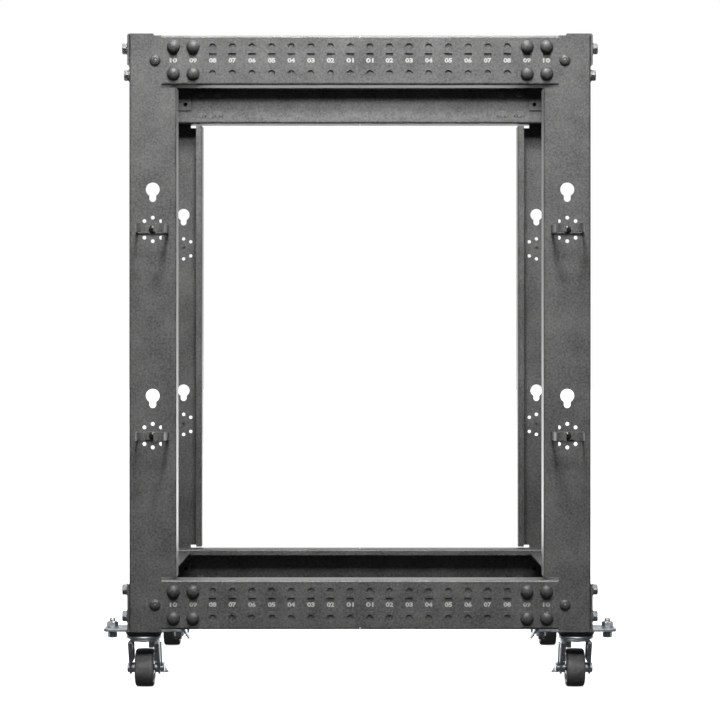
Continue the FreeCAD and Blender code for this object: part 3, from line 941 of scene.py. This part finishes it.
def cup_and_pin():
    """Flared cup of the upper ball race, and the riveted king pin."""
    top = mount_high.z - MOUNT_SHEET + 0.2
    drop = top - CUP_LOW
    steps = 8
    profile = [(0.0, CUP_LOW), (CUP_RADIUS - 1.0, CUP_LOW), (CUP_RADIUS - 0.3, CUP_LOW + 0.3)]
    for i in range(1, steps + 1):
        rise = i / steps
        profile.append((CUP_RADIUS + CUP_FLARE * rise ** 2.2, CUP_LOW + drop * rise))
    profile.append((0.0, top))
    cup = turned(profile, CUP_SIDES)
    low = mount_low.z
    pin = turned([
        (0.0, low), (KING_PIN_HEAD * 0.5, low), (KING_PIN_HEAD * 0.85, low + 0.5),
        (KING_PIN_HEAD, low + 1.5), (KING_PIN_HEAD, KING_PIN_HEAD_TOP),
        (KING_PIN, KING_PIN_HEAD_TOP), (KING_PIN, CUP_LOW), (0.0, CUP_LOW),
    ], AXLE_SIDES)
    return joined([standing(cup, caster_x, swivel_y), standing(pin, caster_x, swivel_y)])


def leg_edges(z):
    """Near and far edge of a fork leg at a height. It leans to the axle and has a round foot."""
    if z < axle_z:
        chord = math.sqrt(max(FORK_FOOT ** 2 - (z - axle_z) ** 2, 0.04))
        return axle_y - chord, axle_y + chord
    rise = (z - axle_z) / (FORK_CROWN_LOW - axle_z)
    inner = axle_y - FORK_FOOT + (swivel_y - FORK_HALF_TOP - axle_y + FORK_FOOT) * rise
    outer = axle_y + FORK_FOOT + (swivel_y + FORK_HALF_TOP - axle_y - FORK_FOOT) * rise
    return inner, outer


def rim_height(z):
    """Rim folded inward along a leg's edge. It dies out above the foot."""
    start = axle_z + 6.0
    return 0.05 + FORK_RIM * min(max((z - start) / 6.0, 0.0), 1.0)


def fork_yoke():
    """One pressed strip: a leg, the crown and the other leg, with rims folded along the legs."""
    outside = FORK_INSIDE + FORK_SHEET
    low = axle_z - FORK_FOOT + 0.02
    top = FORK_CROWN_LOW + FORK_SHEET
    path = []
    leg_heights = [low + (axle_z - low) * (1 - math.cos(math.pi / 2 * i / 8)) for i in range(8)]
    leg_heights += [axle_z + (top - FORK_BEND - axle_z) * i / 12 for i in range(13)]
    for z in leg_heights[:-1]:
        path.append((-outside, z, (-1.0, 0.0)))
    for i in range(9):
        angle = math.pi / 2 * i / 8
        aside, up = math.cos(angle), math.sin(angle)
        path.append((-outside + FORK_BEND - FORK_BEND * aside, top - FORK_BEND + FORK_BEND * up,
                     (-aside, up)))
    for i in range(1, 10):
        path.append((-outside + FORK_BEND + (outside - FORK_BEND) * i / 10, top, (0.0, 1.0)))
    path.append((0.0, top, (0.0, 1.0)))
    path += [(-x, z, (-nx, nz)) for x, z, (nx, nz) in path[-2::-1]]
    rings = []
    for x, z, (nx, nz) in path:
        if abs(nz) < 1e-6:
            near, far = leg_edges(z)
        else:
            half = max(FORK_HALF_TOP, math.sqrt(max(CROWN_RADIUS ** 2 - x * x, 0.0)))
            near, far = swivel_y - half, swivel_y + half
        fold = min(RIM_SHEET, (far - near) * 0.3)
        rim = FORK_SHEET + rim_height(z) * (1 - abs(nz)) + 0.05 * abs(nz)
        section = [
            (0.0, near), (0.0, far), (-rim, far), (-rim, far - fold),
            (-FORK_SHEET, far - fold), (-FORK_SHEET, near + fold),
            (-rim, near + fold), (-rim, near),
        ]
        rings.append([(caster_x + x + nx * out, y, z + nz * out) for out, y in section])
    return rings_to_shape(rings)


def fork_and_axle():
    """Yoke, lower ball race under the cup, axle bolt with its head, nut and spacers, spring box."""
    race_low = FORK_CROWN_LOW + FORK_SHEET - 0.2
    race_middle = (race_low + CROWN_TOP) / 2
    race = [(KING_PIN + 0.3, race_low)]
    for i in range(9):
        angle = math.pi * i / 8
        race.append((CROWN_RADIUS - RACE_RIM + RACE_RIM * math.sin(angle),
                     race_middle - (CROWN_TOP - race_middle) * math.cos(angle)))
    race.append((KING_PIN + 0.3, CROWN_TOP))
    outside = FORK_INSIDE + FORK_SHEET
    spacer = FORK_INSIDE - wheel_width / 2 - 0.7
    bush = [(0.0, 0.0), (6.0, 0.0), (6.5, 0.5), (6.5, spacer), (0.0, spacer)]
    axle_length = 2 * outside + 4.0
    axle = [(0.0, 0.0), (AXLE_RADIUS, 0.0), (AXLE_RADIUS, axle_length), (0.0, axle_length)]
    head = [(0.0, 0.0), (5.2, 0.0), (6.6, 0.5), (7.0, 1.2), (7.0, 1.5), (0.0, 1.5)]
    return joined([
        fork_yoke(),
        standing(hollow_turned(race, segments=CUP_SIDES), caster_x, swivel_y),
        along_axle(turned(bush, AXLE_SIDES), spacer - FORK_INSIDE, -1),
        along_axle(turned(bush, AXLE_SIDES), FORK_INSIDE - spacer),
        along_axle(turned(axle, AXLE_SIDES), -outside - 4.0),
        along_axle(chamfered_hex(AXLE_NUT_FLATS, 3.0, chamfer=0.7), outside),
        along_axle(turned(head, AXLE_SIDES), fork_inner_face - caster_x),
        spring_box(),
    ])


def spring_box():
    """Folded box under the crown, beside the inner leg, that holds the brake's spring."""
    low, high = -FORK_INSIDE + FORK_RIM + 0.4, -SPRING_BOX_INNER
    outline = rounded_corners((low, FORK_CROWN_LOW - SPRING_BOX_DROP),
                              (high, FORK_CROWN_LOW + 0.3), 1.5, steps=3)
    box = plate_from_outline(outline, SPRING_BOX_LENGTH, edge=0.5)
    upright = Matrix(((1, 0, 0, 0), (0, 0, -1, 0), (0, 1, 0, 0), (0, 0, 0, 1)))
    placed(box, upright)
    return standing(box, caster_x, swivel_y + SPRING_BOX_LENGTH / 2)


def lever_blade():
    """Upper arm of the brake lever: it runs up beside the fork's leg to the spring."""
    edges = [(-5.0, 1.0), (5.0, -1.0), (BLADE_TOP[0] + 4.5, BLADE_TOP[1] - 3.0)]
    for i in range(5):
        angle = math.pi / 4 * i
        edges.append((BLADE_TOP[0] + 4.5 * math.cos(angle), BLADE_TOP[1] + 2.0 * math.sin(angle)))
    edges.append((BLADE_TOP[0] - 4.5, BLADE_TOP[1] - 3.0))
    blade = plate_from_outline(edges, LEVER_SHEET, edge=0.3)
    upright = Matrix(((0, 0, -1, 0), (1, 0, 0, 0), (0, 1, 0, 0), (0, 0, 0, 1)))
    return placed(blade, upright)


def brake_lever():
    """Pressed lever that turns on the axle, beside the inner leg, with a flared pedal."""
    stations = []
    for i in range(9):
        angle = math.pi / 2 * i / 8
        stations.append((LEVER_HALF * math.cos(angle), LEVER_HALF * math.sin(angle)))
    start = -LEVER_ARM + PEDAL_HALF
    end = -LEVER_ARM - PEDAL_HALF
    for i in range(1, 7):
        stations.append((start * i / 6, LEVER_HALF))
    for i in range(1, 13):
        stations.append((start + (end - start) * i / 12, LEVER_HALF))
    rings = []
    across = 10
    for y, half in stations:
        half = max(half, 0.3)
        bend = min(max((start + 3.0 - y) / 9.0, 0.0), 1.0)
        bend = bend * bend * (3 - 2 * bend)
        if y < end + 2.5:
            half -= (end + 2.5 - y) * 0.6
        face = []
        for i in range(across + 1):
            down = i / across
            flare = PEDAL_REACH * bend * down ** 1.6
            face.append((-flare, half - 2 * half * down))
        back = [(x - LEVER_SHEET, y, z) for x, z in face[::-1]]
        rings.append([(x, y, z) for x, z in face] + back)
    arm = rings_to_shape(rings)
    bore = AXLE_RADIUS + 0.3
    thick = LEVER_SHEET + 0.5
    eye = hollow_turned([(bore, 0.0), (5.8, 0.0), (5.8, thick), (bore, thick)], AXLE_SIDES)
    placed(eye, facing((0.25, 0, 0), (-1, 0, 0)))
    lever = joined([arm, eye, lever_blade()])
    fall = Matrix.Rotation(math.radians(LEVER_FALL), 3, "X")
    bmesh.ops.rotate(lever, verts=lever.verts, cent=(0, 0, 0), matrix=fall)
    return standing(lever, caster_x - LEVER_FACE, axle_y, axle_z)


TYRE_DEPTH = 6.0
TYRE_SHOULDER = 3.2
RIM_DISH = 3.0
HUB_RADIUS = 9.0
RIBS = 6
WHEEL_SIDES = 72


def tyre():
    """Tread with a slight crown, round shoulders and a moulded line on each side."""
    half = wheel_width / 2
    inner = wheel_radius - TYRE_DEPTH
    side = [(inner, half - 0.8), (inner + 0.4, half), (inner + 1.6, half),
            (inner + 1.9, half - 0.4), (inner + 2.4, half - 0.4), (inner + 2.7, half)]
    for i in range(7):
        angle = math.pi / 2 * i / 6
        side.append((wheel_radius - 0.25 - TYRE_SHOULDER + TYRE_SHOULDER * math.sin(angle),
                     half - TYRE_SHOULDER + TYRE_SHOULDER * math.cos(angle)))
    side.append((wheel_radius, half * 0.3))
    return hollow_turned([(r, -h) for r, h in side] + side[::-1], WHEEL_SIDES)


def wheel_centre():
    """Moulded centre: a rim, a dished web with ribs on both faces, and a hub round the axle."""
    half = wheel_width / 2
    inner = wheel_radius - TYRE_DEPTH
    bore = AXLE_RADIUS + 0.3
    outline = [
        (bore, -half + 0.3), (HUB_RADIUS - 0.6, -half + 0.3), (HUB_RADIUS, -half + 0.9),
        (HUB_RADIUS + 0.5, -half + RIM_DISH), (inner - 2.6, -half + RIM_DISH),
        (inner - 2.0, -half + 0.5), (inner, -half + 0.5),
    ]
    outline += [(r, -h) for r, h in outline[::-1]]
    parts = [hollow_turned(outline, WHEEL_SIDES)]
    long_run = inner - 2.4 - HUB_RADIUS
    rib_outline = [(0, -1.0), (long_run, -0.8), (long_run, 0.8), (0, 1.0)]
    for side in (-1, 1):
        for n in range(RIBS):
            rib = plate_from_outline(rib_outline, RIM_DISH - 1.0, edge=0.25)
            turn = Matrix.Rotation(2 * math.pi * n / RIBS, 4, "Z")
            place = turn @ Matrix.Translation((HUB_RADIUS, 0, half - RIM_DISH - 0.1))
            placed(rib, Matrix.Diagonal((1, 1, side, 1)) @ place)
            parts.append(rib)
    return joined(parts)


def make_casters():
    for corner, x_side, y_side in CORNERS:
        swivel, wheel, brake = "caster_" + corner, "wheel_" + corner, "brake_" + corner
        mount_node, fork_node = "caster_mount_" + corner, "caster_fork_" + corner
        wheel_node, brake_node = "caster_wheel_" + corner, "brake_lever_" + corner
        plated_steel = (
            (mount_node + "_pressed", mounting_plate(), "frame", ZINC, [mount_node]),
            (fork_node + "_pressed", fork_and_axle(), swivel, ZINC, [fork_node]),
            # The cup and king pin take the black finish as painted shade: the band under the post's
            # foot is shade, drawn as a black part.
            ("caster_cup_painted_shade_" + corner, cup_and_pin(), "frame", BLACK_OXIDE_AND_SHADE, []),
            (brake_node + "_pressed", brake_lever(), brake, ZINC, [brake_node]),
        )
        for name, shape, body, finish, nodes in plated_steel:
            finish_piece(name, to_corner(shape, x_side, y_side), body, finish,
                         nodes, smooth_below=42.0)
        for name, shape, finish, nodes in (("tyre_", tyre(), RUBBER, [wheel_node]),
                                           ("wheel_centre_", wheel_centre(), PLASTIC, [])):
            finish_piece(name + corner, to_corner(along_axle(shape), x_side, y_side), wheel,
                         finish, nodes)


make_sheets()
make_rings()
make_depth_bolts()
make_side_screws()
make_corner_bolts()
make_ring_screws()
make_plate_bolts()
make_numbers()
make_casters()

NODE_FINISHES = {"caster_mount": ZINC, "caster_fork": ZINC, "brake": ZINC, "caster_wheel": RUBBER}
for node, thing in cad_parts.items():
    finishes = [finish for start, finish in NODE_FINISHES.items() if node.startswith(start)]
    thing.data.materials.clear()
    thing.data.materials.append(finishes[0] if finishes else COAT)


# ---- studio ----

def make_floor():
    """White floor that runs into the white of the room. It takes the rack's shadow and gives no
    light back, as on a table lit for a cut-out."""
    reach = 30.0
    floor_mesh = bpy.data.meshes.new("studio_floor")
    corners = [(x * reach, y * reach, 0) for x, y in ((-1, -1), (1, -1), (1, 1), (-1, 1))]
    floor_mesh.from_pydata(corners, [], [(0, 1, 2, 3)])
    floor_mesh.materials.append(lit_acrylic())
    floor = in_scene("studio_floor", floor_mesh)
    floor.visible_diffuse = False
    floor.visible_glossy = False


ROOM_DARK = 0.10
ROOM_BACK = 1.1
ROOM_TOP = 0.5
ROOM_LOW_BACK = 5.0


def make_room():
    """White room. Its light comes from behind and above, and its front and floor give little. The
    camera sees it evenly white."""
    room = bpy.data.worlds.new("studio_room")
    room.use_nodes = True
    tree = room.node_tree
    tree.nodes.clear()
    toward = add_node(tree, "TexCoord").outputs["Generated"]
    axes = add_node(tree, "SeparateXYZ", {"Vector": toward}).outputs
    back = add_node(tree, "MapRange", {
        "Value": axes["Y"], "From Min": 0.1, "From Max": 0.7, "To Max": ROOM_BACK},
        interpolation_type="SMOOTHSTEP")
    straight_back = add_node(tree, "MapRange", {
        "Value": axes["Y"], "From Min": 0.6, "From Max": 0.9, "To Max": ROOM_LOW_BACK},
        interpolation_type="SMOOTHSTEP")
    below_level = add_node(tree, "MapRange", {
        "Value": axes["Z"], "From Min": 0.02, "From Max": -0.06}, interpolation_type="SMOOTHSTEP")
    above_floor = add_node(tree, "MapRange", {
        "Value": axes["Z"], "From Min": -0.3, "From Max": -0.1}, interpolation_type="SMOOTHSTEP")
    top = add_node(tree, "MapRange", {
        "Value": axes["Z"], "From Min": 0.5, "To Min": ROOM_DARK, "To Max": ROOM_TOP})
    low_back = add_node(tree, "Math", {0: below_level, 1: straight_back}, operation="MULTIPLY")
    whole_back = add_node(tree, "Math", {0: back, 1: low_back}, operation="ADD")
    standing_back = add_node(tree, "Math", {0: whole_back, 1: above_floor}, operation="MULTIPLY")
    strength = add_node(tree, "Math", {0: standing_back, 1: top}, operation="ADD")
    white = linear("#ffffff")
    lit = add_node(tree, "Background", {"Color": white, "Strength": strength})
    seen = add_node(tree, "Background", {"Color": white, "Strength": 1.0})
    straight = add_node(tree, "LightPath").outputs["Is Camera Ray"]
    both = add_node(tree, "MixShader", {0: straight, 1: lit, 2: seen})
    add_node(tree, "OutputWorld", {"Surface": both})
    bpy.context.scene.world = room


def add_softbox(name, place, aim, width, height, watts, spread=180.0):
    lamp = bpy.data.lights.new(name, "AREA")
    lamp.shape = "RECTANGLE"
    lamp.size = width
    lamp.size_y = height
    lamp.energy = watts
    lamp.spread = math.radians(spread)
    softbox = in_scene(name, lamp)
    softbox.location = place
    softbox.rotation_euler = (Vector(aim) - Vector(place)).to_track_quat("-Z", "Y").to_euler()
    softbox.visible_camera = False


LENS = 114.4
EYE = (0.0, -3.218, 0.4278)


def make_camera():
    camera = bpy.data.cameras.new("camera")
    camera.sensor_width = 36.0
    camera.lens = LENS
    eye = in_scene("camera", camera)
    eye.location = EYE
    eye.rotation_euler = (math.pi / 2, 0, 0)
    bpy.context.scene.camera = eye


make_floor()
make_room()
add_softbox("key_softbox", (0.0, -1.5, 2.5), (0.0, -0.26, 0.9), 0.4, 0.5, 12, spread=50)
add_softbox("front_softbox", (0.0, -4.2, 3.5), (0.0, -0.26, 0.4), 2.2, 0.9, 215)
add_softbox("inside_softbox", (0.0, -0.2, 1.05), (0.0, 0.26, 0.65), 0.55, 0.1, 2.3)
make_camera()
bpy.context.scene.view_settings.view_transform = "Standard"
